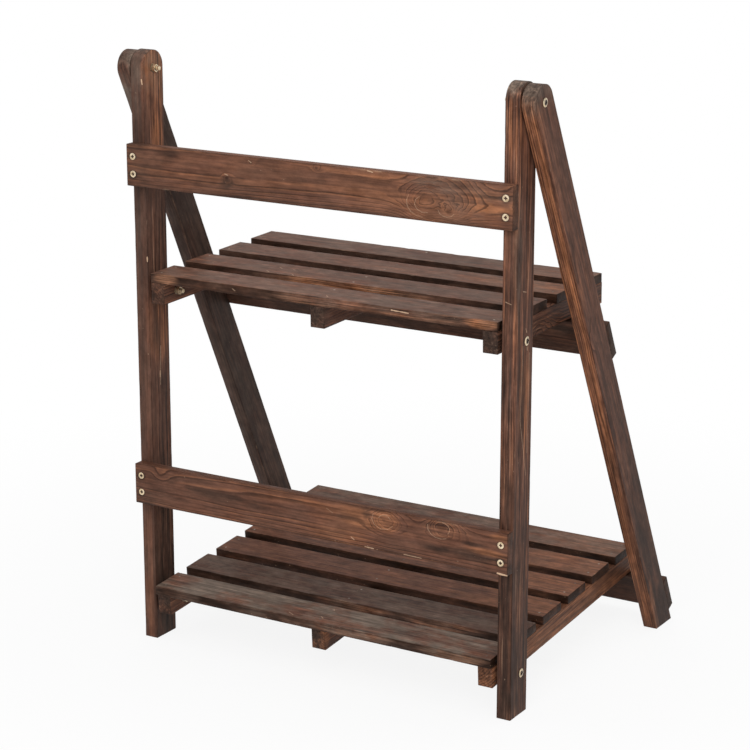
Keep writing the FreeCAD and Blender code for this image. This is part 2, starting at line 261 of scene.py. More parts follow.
class Graph:
    """Short ways to add nodes to a shader tree; a value is a socket or a constant."""

    def __init__(self, tree):
        self.tree = tree

    def node(self, kind, **settings):
        made = self.tree.nodes.new("ShaderNode" + kind)
        for name, value in settings.items():
            setattr(made, name, value)
        return made

    def feed(self, socket, value):
        if isinstance(value, bpy.types.NodeSocket):
            self.tree.links.new(value, socket)
        elif value is not None:
            socket.default_value = value

    def fed(self, kind, *values, **settings):
        """Outputs of a new node whose first inputs take the values."""
        made = self.node(kind, **settings)
        for socket, value in zip(made.inputs, values):
            self.feed(socket, value)
        return made.outputs

    def math(self, operation, first, second=None, clamp=False, third=None):
        return self.fed("Math", first, second, third, operation=operation, use_clamp=clamp)[0]

    def vector(self, operation, first, second=None):
        made = self.fed("VectorMath", first, second, operation=operation)
        return made["Value" if operation in ("LENGTH", "DOT_PRODUCT") else "Vector"]

    def scaled(self, vector, factor):
        return self.fed("VectorMath", vector, None, None, factor, operation="SCALE")["Vector"]

    def parts(self, vector):
        return self.fed("SeparateXYZ", vector)

    def joined(self, x, y, z):
        return self.fed("CombineXYZ", x, y, z)[0]

    def step(self, value, low, high):
        """0 below low and 1 above high, smooth between; low above high turns it round."""
        return self.fed("MapRange", value, low, high, 0.0, 1.0, interpolation_type="SMOOTHSTEP")[0]

    def mix(self, factor, first, second):
        made = self.node("Mix", data_type="RGBA")
        self.feed(made.inputs[0], factor)
        self.feed(made.inputs[6], first)
        self.feed(made.inputs[7], second)
        return made.outputs[2]

    def blend(self, factor, first, second):
        made = self.node("Mix", data_type="FLOAT")
        self.feed(made.inputs[0], factor)
        self.feed(made.inputs[2], first)
        self.feed(made.inputs[3], second)
        return made.outputs[0]

    def noise(self, place, kind):
        """Noise from 0 to 1, stretched along the grain."""
        made = self.node("TexNoise")
        self.feed(made.inputs["Vector"], self.vector("MULTIPLY", place, (kind.along, kind.across, kind.across)))
        made.inputs["Scale"].default_value = 1.0
        made.inputs["Detail"].default_value = kind.detail
        made.inputs["Roughness"].default_value = kind.roughness
        return made.outputs[0]

    def centred(self, place, kind):
        """Noise about 0."""
        return self.math("SUBTRACT", self.noise(place, kind), 0.5)

    def plus(self, value, share, amount):
        """value + share * amount"""
        return self.math("MULTIPLY_ADD", share, amount, False, value)

    def times(self, first, *others):
        """Product of all the values."""
        for other in others:
            first = self.math("MULTIPLY", first, other)
        return first

    def bump(self, height, strength, distance):
        """Normal of a surface with a relief."""
        made = self.node("Bump")
        made.inputs["Strength"].default_value = strength
        made.inputs["Distance"].default_value = distance
        self.feed(made.inputs["Height"], height)
        return made.outputs[0]

    def group(self, tree, **values):
        made = self.node("Group", node_tree=tree)
        for name, value in values.items():
            self.feed(made.inputs[name], value)
        return made.outputs


def node_group(name, vectors, floats, results, result_kind="Float"):
    """New shader group with its sockets, the graph to fill it, its input sockets and its output sockets."""
    tree = bpy.data.node_groups.new(name, "ShaderNodeTree")
    for sockets, direction, kind in ((vectors, "INPUT", "Vector"), (floats, "INPUT", "Float"),
                                     (results, "OUTPUT", result_kind)):
        for socket in sockets:
            tree.interface.new_socket(socket, in_out=direction, socket_type="NodeSocket" + kind)
    start = tree.nodes.new("NodeGroupInput")
    end = tree.nodes.new("NodeGroupOutput")
    return tree, Graph(tree), start.outputs, end.inputs


def ring_group():
    """Growth rings: how many lie between the pith and a place in the board."""
    tree, graph, given, result = node_group(
        "growth_rings", ("Place", "Noise place", "Pith", "Slope"), ("Spacing",), ("Field",))
    along = graph.parts(given["Place"])[0]
    lean = graph.scaled(given["Slope"], along)
    offset = graph.vector("ADD", graph.vector("SUBTRACT", given["Place"], given["Pith"]), lean)
    _, across, deep = graph.parts(offset)
    radius = graph.vector("LENGTH", graph.joined(0.0, across, deep))
    for waviness, depth in ((WANDER, WANDER_DEPTH), (TREMBLE, TREMBLE_DEPTH)):
        radius = graph.plus(radius, graph.centred(given["Noise place"], waviness), depth)
    graph.feed(result["Field"], graph.math("DIVIDE", radius, given["Spacing"]))
    return tree


def knot_group():
    """One knot: the rings bend round it and close up in it, and its middle is darker and warmer."""
    tree, graph, given, result = node_group(
        "knot", ("Place", "Centre"), ("Field", "Core", "Warm", "Radius", "Rings", "Dark", "Glow"),
        ("Field", "Core", "Warm"))
    offset = graph.vector("MULTIPLY", graph.vector("SUBTRACT", given["Place"], given["Centre"]), KNOT_SHAPE)
    distance = graph.math("DIVIDE", graph.vector("LENGTH", offset), given["Radius"])
    lean = graph.math("DIVIDE", graph.parts(offset)[0], given["Radius"])
    distance = graph.plus(distance, lean, KNOT_LEAN)
    distance = graph.plus(distance, graph.centred(given["Place"], KNOT_NOISE), KNOT_RAGGED)
    distance = graph.math("MAXIMUM", distance, 0.0)
    hill = graph.math("EXPONENT", graph.times(distance, distance, -1.0))
    graph.feed(result["Field"], graph.plus(given["Field"], hill, given["Rings"]))
    middle = graph.times(graph.step(distance, *KNOT_CORE), given["Dark"])
    graph.feed(result["Core"], graph.math("MAXIMUM", given["Core"], middle))
    graph.feed(result["Warm"], graph.plus(given["Warm"], graph.step(distance, *KNOT_GLOW), given["Glow"]))
    return tree


def patch_group():
    """Ragged oval on a board, from 0 outside to 1 in the middle, with a soft or a sharp rim."""
    tree, graph, given, result = node_group(
        "patch", ("Place", "Noise place", "Centre", "Size"), ("Sharp",), ("Mask",))
    offset = graph.vector("DIVIDE", graph.vector("SUBTRACT", given["Place"], given["Centre"]), given["Size"])
    outer, inner, ragged = (graph.blend(given["Sharp"], *rim) for rim in (RIM_OUTER, RIM_INNER, RIM_RAGGED))
    distance = graph.plus(graph.vector("LENGTH", offset), graph.centred(given["Noise place"], PATCH_NOISE), ragged)
    graph.feed(result["Mask"], graph.step(distance, outer, inner))
    return tree


def scratch_group():
    """Thin pale line between two places on a board."""
    tree, graph, given, result = node_group(
        "scratch", ("Place", "Start", "End"), ("Width",), ("Mask",))
    run = graph.vector("SUBTRACT", given["End"], given["Start"])
    reach = graph.vector("SUBTRACT", given["Place"], given["Start"])
    share = graph.math("DIVIDE", graph.vector("DOT_PRODUCT", reach, run), graph.vector("DOT_PRODUCT", run, run), True)
    gap = graph.vector("LENGTH", graph.vector("SUBTRACT", reach, graph.scaled(run, share)))
    limit = graph.times(given["Width"], graph.noise(given["Place"], SCRATCH_NOISE), SCRATCH_RAGGED)
    graph.feed(result["Mask"], graph.step(graph.math("DIVIDE", gap, limit), *SCRATCH_RIM))
    return tree


def grain_lines(graph, given):
    """Late-wood lines, the early wood after each of them, and a tone for each ring."""
    tooth = graph.math("FRACT", given["Field"])
    shown = graph.times(given["Contrast"], graph.step(graph.noise(given["Place"], RING_NOISE), *RINGS_SHOWN))
    late = graph.times(graph.step(tooth, *LATE_RISE), graph.step(tooth, *LATE_FALL), shown)
    early = graph.times(graph.step(tooth, *EARLY_RISE), graph.step(tooth, *EARLY_FALL), shown)
    ring = graph.node("TexWhiteNoise", noise_dimensions="1D")
    graph.feed(ring.inputs["W"], graph.math("FLOOR", given["Field"]))
    tone = graph.times(graph.math("SUBTRACT", ring.outputs["Value"], 0.5), given["Contrast"])
    return late, early, tone


def grain_colour(graph, given, fine, late, early, tone):
    """Wood from grey-brown over brown to orange, with its late-wood lines."""
    warmth = graph.plus(given["Warm"], graph.centred(given["Place"], STREAK), given["Streak"])
    cloud = graph.centred(given["Place"], CLOUD)
    for share, amount in ((cloud, CLOUD_WARMTH), (tone, RING_WARMTH), (early, EARLY_WARMTH), (fine, FIBRE_WARMTH)):
        warmth = graph.plus(warmth, share, amount)
    # The lower half of the warmth leads to brown, and the upper half on to orange
    colour = graph.mix(graph.math("MULTIPLY", warmth, 2.0, True), GREY_BROWN, BROWN)
    colour = graph.mix(graph.math("MULTIPLY_ADD", warmth, 2.0, True, -1.0), colour, ORANGE)
    return graph.mix(late, colour, LATE_WOOD)


def scorched_colour(graph, given, colour):
    """Char, soot with painted shade on the narrow sides, ash and the knots' middles over the wood."""
    smoke = graph.centred(given["Place"], SMOKE)
    burnt = graph.plus(given["Char"], given["End"], END_CHAR)
    burnt = graph.math("MULTIPLY", burnt, graph.plus(1.0, smoke, SMOKE_IN_CHAR), True)
    colour = graph.mix(burnt, colour, CHAR)
    # Narrow sides darkened by soot and by painted shade, most on the slats' front edges in the gaps
    sooty_shade = graph.times(graph.math("SUBTRACT", 1.0, given["Flat"]), given["Soot"])
    sooty_shade = graph.math("MULTIPLY", sooty_shade, graph.plus(1.0, smoke, SMOKE_IN_SOOT_AND_SHADE), True)
    colour = graph.mix(sooty_shade, colour, SOOT_AND_SHADE)
    bloom = graph.step(graph.noise(given["Place"], BLOOM), *ASH_BLOOM)
    ashy = graph.times(bloom, given["Ash"], graph.math("SUBTRACT", 1.0, sooty_shade))
    colour = graph.mix(ashy, colour, ASH)
    return graph.mix(given["Core"], colour, KNOT)


def worn_colour(graph, given, colour, fine, early):
    """Arrises darkened by soot and by painted shade, rubbed arrises, flecks, scratches and pale glints of the early
    wood.
    """
    place = given["Place"]
    rub = graph.noise(place, RUB)
    # Arrises darkened by soot and by painted shade
    sooty_shade = graph.times(given["Edge"], graph.step(rub, *SOOTY_SHADED_ARRIS), ARRIS_SOOT_AND_SHADE)
    colour = graph.mix(sooty_shade, colour, SOOT_AND_SHADE)
    rubbed = graph.times(given["Edge"], graph.step(rub, *RUBBED_ARRIS))
    flecks = graph.times(graph.step(graph.noise(place, FLECKS), *FLECK_SPOT),
                         graph.step(graph.noise(place, FLECK_FIELDS), *FLECK_FIELD))
    glint = graph.times(early, graph.step(fine, *GLINT_FIBRE))
    pale = given["Worn"]
    for share, amount in ((rubbed, RUBBED_PALE), (flecks, FLECK_PALE), (glint, GLINT_PALE)):
        pale = graph.plus(pale, share, amount)
    return graph.mix(pale, colour, PALE)


def scorched_group():
    """Scorched, brushed and oiled surface over the rings, knots and patches of one board."""
    tree, graph, given, result = node_group(
        "scorched_fir", ("Place",),
        ("Field", "Core", "Warm", "Char", "Worn", "Edge", "End", "Flat", "Contrast", "Fibre", "Streak", "Blotch", "Ash",
         "Soot"),
        ("Shader",), "Shader")
    place = given["Place"]
    fibre = graph.noise(place, FIBRE)
    fine = graph.times(graph.math("SUBTRACT", fibre, 0.5), given["Fibre"])
    late, early, tone = grain_lines(graph, given)
    colour = scorched_colour(graph, given, grain_colour(graph, given, fine, late, early, tone))
    light = graph.times(graph.plus(1.0, fine, FIBRE_LIGHT),
                        graph.plus(MOTTLE_BASE, graph.noise(place, MOTTLE), MOTTLE_LIGHT),
                        graph.plus(1.0, graph.centred(place, BLOTCH), given["Blotch"]))
    colour = worn_colour(graph, given, graph.scaled(colour, light), fine, early)
    relief = graph.plus(graph.times(late, LATE_RELIEF), fibre, FIBRE_RELIEF)
    relief = graph.plus(relief, given["Core"], KNOT_RELIEF)

    surface = graph.node("BsdfPrincipled")
    graph.feed(surface.inputs["Base Color"], colour)
    graph.feed(surface.inputs["Roughness"], graph.plus(WOOD_ROUGHNESS, fibre, FIBRE_ROUGHNESS))
    surface.inputs["Specular IOR Level"].default_value = WOOD_GLOSS
    graph.feed(surface.inputs["Normal"], graph.bump(relief, WOOD_BUMP, WOOD_BUMP_DEPTH))
    graph.feed(result["Shader"], surface.outputs[0])
    return tree


RINGS = ring_group()
KNOTS = knot_group()
PATCHES = patch_group()
SCRATCHES = scratch_group()
SCORCHED = scorched_group()


def new_material(name):
    """Empty node material, the graph to fill it and its output's surface socket."""
    material = bpy.data.materials.new(name)
    material.use_nodes = True
    material.node_tree.nodes.clear()
    graph = Graph(material.node_tree)
    return material, graph, graph.node("OutputMaterial").inputs["Surface"]


def metres(millimetres):
    """Millimetres along, across and out of a board, in metres."""
    return [value * MM for value in millimetres]


def board_material(name, look):
    """Wood of one board. Places in its look are millimetres from the board's centre: along, across and out."""
    material, graph, surface = new_material(name)
    luck = random.Random(name)
    place = graph.node("Attribute", attribute_name="place").outputs["Vector"]
    wear = graph.parts(graph.node("Attribute", attribute_name="wear").outputs["Vector"])
    noise_place = graph.vector("ADD", place, [luck.uniform(-NOISE_SHIFT, NOISE_SHIFT) for _ in range(3)])
    slope = [0] + [luck.uniform(-PITH_LEAN, PITH_LEAN) for _ in range(2)]
    field = graph.group(RINGS, **{"Place": place, "Noise place": noise_place, "Pith": metres((0, *look["pith"])),
                                  "Slope": slope, "Spacing": look["spacing"] * MM})["Field"]
    amounts = {kind: look[kind] for kind in ("warm", "char", "contrast", "fibre", "ash", "soot")}
    amounts["worn"] = 0.0
    core = 0.0
    for knot in look.get("knots", ()):
        drawn = graph.group(KNOTS, Place=place, Field=field, Core=core, Warm=amounts["warm"],
                            Centre=metres((knot.along, knot.across, 0)), Radius=knot.radius * MM, Rings=knot.rings,
                            Dark=knot.dark, Glow=knot.warm)
        field, core, amounts["warm"] = drawn["Field"], drawn["Core"], drawn["Warm"]
    for patch in look.get("patches", ()):
        mask = graph.group(PATCHES, **{"Place": place, "Noise place": noise_place, "Centre": metres(patch.centre),
                                       "Size": metres(patch.reach), "Sharp": patch.sharp})["Mask"]
        amounts[patch.kind] = graph.plus(amounts[patch.kind], mask, patch.amount)
    for scratch in look.get("scratches", ()):
        mask = graph.group(SCRATCHES, Place=place, Start=metres(scratch.start), End=metres(scratch.end),
                           Width=scratch.width * MM)["Mask"]
        amounts["worn"] = graph.plus(amounts["worn"], mask, scratch.amount)
    finish = graph.group(SCORCHED, Place=noise_place, Field=field, Core=core, Warm=amounts["warm"],
                         Char=amounts["char"], Worn=amounts["worn"], Edge=wear[0], End=wear[1], Flat=wear[2],
                         Contrast=amounts["contrast"], Fibre=amounts["fibre"], Streak=look["streak"],
                         Blotch=look["blotch"], Ash=amounts["ash"], Soot=amounts["soot"])
    graph.feed(surface, finish[0])
    return material


def brass_material(name, tarnish, head=None):
    """Pale brass plating, scuffed, with spots of tarnishing that also serve as painted dark reflections, painted shade
    in the recesses, and painted shade in the middle of a bolt head.
    """
    material, graph, surface = new_material(name)
    place = graph.node("TexCoord").outputs["Object"]
    scuff = graph.noise(place, BRASS_SCUFF)
    spots = graph.noise(place, TARNISH_AND_DARK_REFLECTION)
    # Painted shade: ambient occlusion darkens the screw recesses and the hollows of nuts, washers and spacers
    hollow = graph.node("AmbientOcclusion", samples=8)
    hollow.inputs["Distance"].default_value = HOLLOW_REACH
    shade_and_tarnish = graph.step(hollow.outputs["AO"], *HOLLOW_PAINTED_SHADE)
    # Spots of tarnishing, which also stand as painted dark reflections of the surroundings
    shade_and_tarnish = graph.math("MAXIMUM", shade_and_tarnish, graph.times(graph.step(spots, *TARNISH_AND_DARK_REFLECTION_SPOT), tarnish))
    # Painted shade: the middle of a bolt head is painted dark, as the shade inside a deep recess
    if head:
        away = graph.vector("LENGTH", graph.vector("SUBTRACT", place, head))
        away = graph.plus(away, spots, HEAD_RAGGED)
        shade_and_tarnish = graph.math("MAXIMUM", shade_and_tarnish, graph.step(away, *HEAD_SHADE_MIDDLE))
    colour = graph.mix(graph.step(graph.noise(place, BRASS_TONE), *BRASS_TONES), BRASS_PALE, BRASS_DEEP)
    metal = graph.node("BsdfPrincipled")
    graph.feed(metal.inputs["Base Color"], graph.mix(shade_and_tarnish, colour, PAINTED_SHADE_AND_TARNISH))
    graph.feed(metal.inputs["Metallic"], graph.math("SUBTRACT", 1.0, shade_and_tarnish))
    graph.feed(metal.inputs["Roughness"], graph.plus(BRASS_ROUGHNESS, scuff, SCUFF_ROUGHNESS))
    graph.feed(metal.inputs["Normal"], graph.bump(scuff, BRASS_BUMP, BRASS_BUMP_DEPTH))
    graph.feed(surface, metal.outputs[0])
    return material


def steel_material():
    """Dull nail steel, darkened in places by the scorching."""
    material, graph, surface = new_material("nail_steel")
    tone = graph.noise(graph.node("TexCoord").outputs["Object"], STEEL_TONE)
    metal = graph.node("BsdfPrincipled")
    graph.feed(metal.inputs["Base Color"], graph.mix(graph.step(tone, *STEEL_TONES), STEEL_DARK, STEEL_PALE))
    metal.inputs["Metallic"].default_value = STEEL_METALLIC
    graph.feed(metal.inputs["Roughness"], graph.plus(STEEL_ROUGHNESS, tone, DULL_ROUGHNESS))
    graph.feed(surface, metal.outputs[0])
    return material


def board_spread(points):
    """How far a board leans out for each metre along it, from the outer arrises of its two ends."""
    low, high = points.min(0)[0], points.max(0)[0]
    near_foot = points[points[:, 0] < low + END_REACH]
    near_top = points[points[:, 0] > high - END_REACH]
    foot, top = near_foot[near_foot[:, 2].argmax()], near_top[near_top[:, 2].argmax()]
    return (top[2] - foot[2]) / (top[0] - foot[0])


def board_axes(node, kind):
    """Matrix whose axes run along, across and out of a CAD board from its centre, and the board's sizes."""
    area = {}
    for face in node.data.polygons:
        if abs(face.normal.x) < SIDEWAYS:
            turn = round(math.atan2(face.normal.z, face.normal.y) % math.pi, TURN_DIGITS)
            area[turn] = area.get(turn, 0) + face.area
    turn = max(area, key=area.get)
    facing = Vector((0, math.cos(turn), math.sin(turn)))
    side = Vector((1, 0, 0))
    forward_or_up = -facing.y if kind in ("rail", "post") else facing.z
    if forward_or_up < 0:
        facing = -facing
    if kind in ("rail", "slat"):
        along, across, out = side, facing.cross(side), facing
    else:
        along, across, out = facing.cross(side), facing, side
    axes = Matrix((along, across, out)).transposed()
    points = np.array([axes.transposed() @ vertex.co for vertex in node.data.vertices])
    spread = board_spread(points) if kind == "post" else 0.0
    points[:, 2] -= spread * points[:, 0]
    low, high = points.min(0), points.max(0)
    matrix = axes.to_4x4() @ Matrix(((1, 0, 0, 0), (0, 1, 0, 0), (spread, 0, 1, 0), (0, 0, 0, 1)))
    matrix.translation = matrix.to_3x3() @ Vector((low + high) / 2)
    return matrix, high - low


def board_rows(length, half, corner, round_top):
    """Places along a board from its foot and its half width there."""
    turns = [math.pi / 2 * step / CORNER_STEPS for step in range(CORNER_STEPS + 1)]
    rows = [(corner * (1 - math.cos(turn)), half - corner * (1 - math.sin(turn))) for turn in turns]
    straight_end = length - (half if round_top else corner)
    count = math.ceil((straight_end - corner) / ROW_STEP)
    rows += [(corner + (straight_end - corner) * step / count, half) for step in range(1, count + 1)]
    if round_top:
        turns = [ROUND_END * step / ROUND_STEPS for step in range(1, ROUND_STEPS + 1)]
        rows += [(straight_end + half * math.sin(turn), half * math.cos(turn)) for turn in turns]
    else:
        rows += [(length - place, width) for place, width in rows[CORNER_STEPS - 1::-1]]
    return np.array(rows)


class Outline:
    """Round of a board's broad face: its spots in the grid of rows and columns, their places and outward directions."""

    def __init__(self, rows, length, half, slope):
        self.last_row, self.last_column = len(rows) - 1, len(COLUMNS) - 1
        self.spots = [(0, column) for column in range(self.last_column)]
        self.spots += [(row, self.last_column) for row in range(self.last_row)]
        self.spots += [(self.last_row, column) for column in range(self.last_column, 0, -1)]
        self.spots += [(row, 0) for row in range(self.last_row, 0, -1)]
        places = []
        for row, column in self.spots:
            place, reach = rows[row]
            across = reach * COLUMNS[column]
            fade = max(0.0, 1 - place / (SLANT_FADE * half))
            places.append((place - length / 2 + slope * (across + half) * fade, across))
        self.places = np.array(places)
        tangent = np.roll(self.places, -1, 0) - np.roll(self.places, 1, 0)
        normal = np.stack([-tangent[:, 1], tangent[:, 0]], 1)
        normal /= np.linalg.norm(normal, axis=1)[:, None]
        self.normal = normal if normal[0][0] < 0 else -normal


class BoardPoints:
    """Points of a board's mesh by key: where each lies, which way it faces, and its share of an arris and of an end."""

    def __init__(self):
        self.index, self.places, self.outward, self.edge, self.end = {}, [], [], [], []

    def add(self, key, spot, height, direction, edge, end=0.0):
        self.index[key] = len(self.places)
        self.places.append((*spot, height))
        self.outward.append(direction)
        self.edge.append(edge)
        self.end.append(end)


def add_broad_faces(made, outline, thickness, arris):
    """Both broad faces: a grid within the arrises, keyed by side, row and column."""
    inset = outline.places - outline.normal * arris
    rim = {spot: number for number, spot in enumerate(outline.spots)}
    for side in (-1, 1):
        for row in range(outline.last_row + 1):
            rear, front = inset[rim[(row, 0)]], inset[rim[(row, outline.last_column)]]
            for column in range(outline.last_column + 1):
                on_rim = (row, column) in rim
                share = (COLUMNS[column] + 1) / 2
                spot = inset[rim[(row, column)]] if on_rim else rear * (1 - share) + front * share
                made.add((side, row, column), spot, side * thickness / 2, (0, 0, side), RIM_SHARE if on_rim else 0.0)


def add_sides(made, outline, thickness, arris, sharp_corners):
    """Narrow sides with their rounded arrises, keyed by level and place in the round; returns how many levels."""
    arc = [math.pi / 2 * step / CORNER_STEPS for step in range(1, CORNER_STEPS + 1)]
    levels = [(-math.cos(turn), math.sin(turn), -thickness / 2 + arris * (1 - math.cos(turn))) for turn in arc]
    levels.append((0.0, 1.0, 0.0))
    levels += [(-lean, out, -height) for lean, out, height in levels[CORNER_STEPS - 1::-1]]
    least, most = CORNER_FACING
    for level, (lean, out, height) in enumerate(levels):
        on_arris = 1.0 if abs(lean) > ARRIS_FACING else SIDE_SHARE if abs(lean) > SIDE_FACING else 0.0
        for number, (place, normal) in enumerate(zip(outline.places, outline.normal)):
            lengthwise = abs(normal[0])
            at_corner = 1.0 if sharp_corners and least < lengthwise < most else 0.0
            made.add((level, number), place - normal * arris * (1 - out), height, (*(normal * out), lean),
                     max(on_arris, at_corner), 1.0 if lengthwise > END_FACING else 0.0)
    return len(levels)


def board_faces(made, outline, levels):
    """Faces over the two grids and round the sides."""
    faces = []
    for side in (-1, 1):
        for row in range(outline.last_row):
            for column in range(outline.last_column):
                corners = [(row, column), (row + 1, column), (row + 1, column + 1), (row, column + 1)]
                faces.append([made.index[(side, *spot)] for spot in corners[::-side]])
    around = len(outline.spots)
    loops = [[made.index[(-1, *spot)] for spot in outline.spots]]
    loops += [[made.index[(level, number)] for number in range(around)] for level in range(levels)]
    loops.append([made.index[(1, *spot)] for spot in outline.spots])
    for lower, upper in zip(loops, loops[1:]):
        for number in range(around):
            following = (number + 1) % around
            faces.append([lower[number], lower[following], upper[following], upper[number]])
    return faces


def wear_noise(place, cycles, shift):
    """Noise at a place, by its cycles per metre along, across and out."""
    return noise.noise(Vector([value * cycle for value, cycle in zip(Vector(place), cycles)]) + shift)


def worn_places(places, outward, edge, luck):
    """Places set back from the CAD faces: slightly uneven, and rubbed and chipped on the arrises."""
    shift = Vector([luck.uniform(-WEAR_SHIFT, WEAR_SHIFT) for _ in range(3)])
    moved = np.empty_like(places)
    for number, (place, direction, share) in enumerate(zip(places, outward, edge)):
        swell = wear_noise(place, SWELL_CYCLES, shift)
        bite = wear_noise(place, BITE_CYCLES, -shift)
        chip = max(0.0, bite - CHIP_START) * CHIP_DEPTH / CHIP_RANGE
        depth = SURFACE_SETBACK + UNEVENNESS * max(0.0, 0.5 - swell) + share * (ARRIS_WEAR * abs(bite) + chip)
        moved[number] = place - direction * depth
    return moved


def board_piece(name, node, kind, arris, luck):
    """Mesh of one board with rounded arrises, chips and a slightly uneven face; points know their place and wear."""
    matrix, (length, width, thickness) = board_axes(node, kind)
    upright = kind == "post"
    rows = board_rows(length, width / 2, CORNER_TO_ARRIS * arris, upright)
    slope = -matrix[2][1] / matrix[2][0] if upright else 0.0
    outline = Outline(rows, length, width / 2, slope)
    made = BoardPoints()
    add_broad_faces(made, outline, thickness, arris)
    levels = add_sides(made, outline, thickness, arris, not upright)
    places, outward, edge = np.array(made.places), np.array(made.outward), np.array(made.edge)
    mesh = bpy.data.meshes.new(name)
    mesh.from_pydata(worn_places(places, outward, edge, luck).tolist(), [], board_faces(made, outline, levels))
    wear = np.stack([edge, np.array(made.end), np.abs(outward[:, 2])], 1)
    for attribute, values in (("place", places), ("wear", wear)):
        mesh.attributes.new(attribute, "FLOAT_VECTOR", "POINT").data.foreach_set("vector", values.ravel())
    mesh.shade_smooth()
    mesh.transform(matrix)
    piece = bpy.data.objects.new(name, mesh)
    bpy.context.scene.collection.objects.link(piece)
    return piece


# Looks of each kind of board, and what the photograph shows of single ones
KIND_LOOKS = {
    "rail": {"pith": (10, -54), "spacing": 1.7, "warm": 0.5, "char": 0.08, "contrast": 0.7, "fibre": 0.35,
             "streak": 0.2, "blotch": 0.5, "ash": 0.1, "soot": 0.1},
    "post": {"pith": (12, 62), "spacing": 3.0, "warm": 0.4, "char": 0.1, "contrast": 0.9, "fibre": 1.0,
             "streak": 0.6, "blotch": 0.7, "ash": 0.05, "soot": 0.0},
    # On a slat the soot amount darkens the narrow sides with soot and painted shade, deepest on the front edges between
    # the slats
    "slat": {"pith": (10, -60), "spacing": 2.0, "warm": 0.39, "char": 0.05, "contrast": 0.15, "fibre": 0.5,
             "streak": 0.4, "blotch": 1.8, "ash": 0.36, "soot": 0.85},
    "bearer": {"pith": (40, 30), "spacing": 2.8, "warm": 0.4, "char": 0.25, "contrast": 0.6, "fibre": 0.8,
               "streak": 0.5, "blotch": 0.8, "ash": 0.1, "soot": 0.1},
}

# Faces and ends of the boards, in millimetres from a board's centre; the skin of a slat is just under its top
RAIL_FACE = 6
POST_FRONT = 19
POST_SIDE = 8.5
SLAT_EDGE = -23
SLAT_TOP, SLAT_SKIN = 5.2, 5
UPPER_TIP, LOWER_TIP = -125, -181
SCREW_ALONG, SCREW_ACROSS = 237.5, 10
WHOLE_FACE = 900
ARC_STEPS = 6
ARC_STRETCH = 1.3


def patches_on(out, patches):
    """Patches on one broad face: a patch's values each, with its middle only along and across the board."""
    return [Patch(kind, amount, (*middle, out), *rest) for kind, amount, middle, *rest in patches]


def lines_on(out, lines):
    """Scratches on one broad face: a scratch's values each, with its ends only along and across the board."""
    return [Scratch((*start, out), (*end, out), *rest) for start, end, *rest in lines]


def bare_edge(along, reach, warm=0.35):
    """Length of a slat's front edge where the soot has worn off to warm wood with its grain, with less painted shade
    there too.
    """
    changes = (("warm", warm), ("soot", -0.6), ("contrast", 0.7), ("fibre", 0.5))
    return [Patch(kind, amount, (along, SLAT_EDGE, 1), (reach, 6, 7), 0.4) for kind, amount in changes]


def knot_arc(centre, radius, start, end):
    """Pale grain line round a knot in a rail, from one bearing to another in degrees."""
    along, across = centre
    spots = [(along + ARC_STRETCH * radius * math.cos(turn), across + radius * math.sin(turn))
             for turn in np.radians(np.linspace(start, end, ARC_STEPS))]
    return lines_on(RAIL_FACE, [(first, second, 0.5, 0.3) for first, second in zip(spots, spots[1:])])


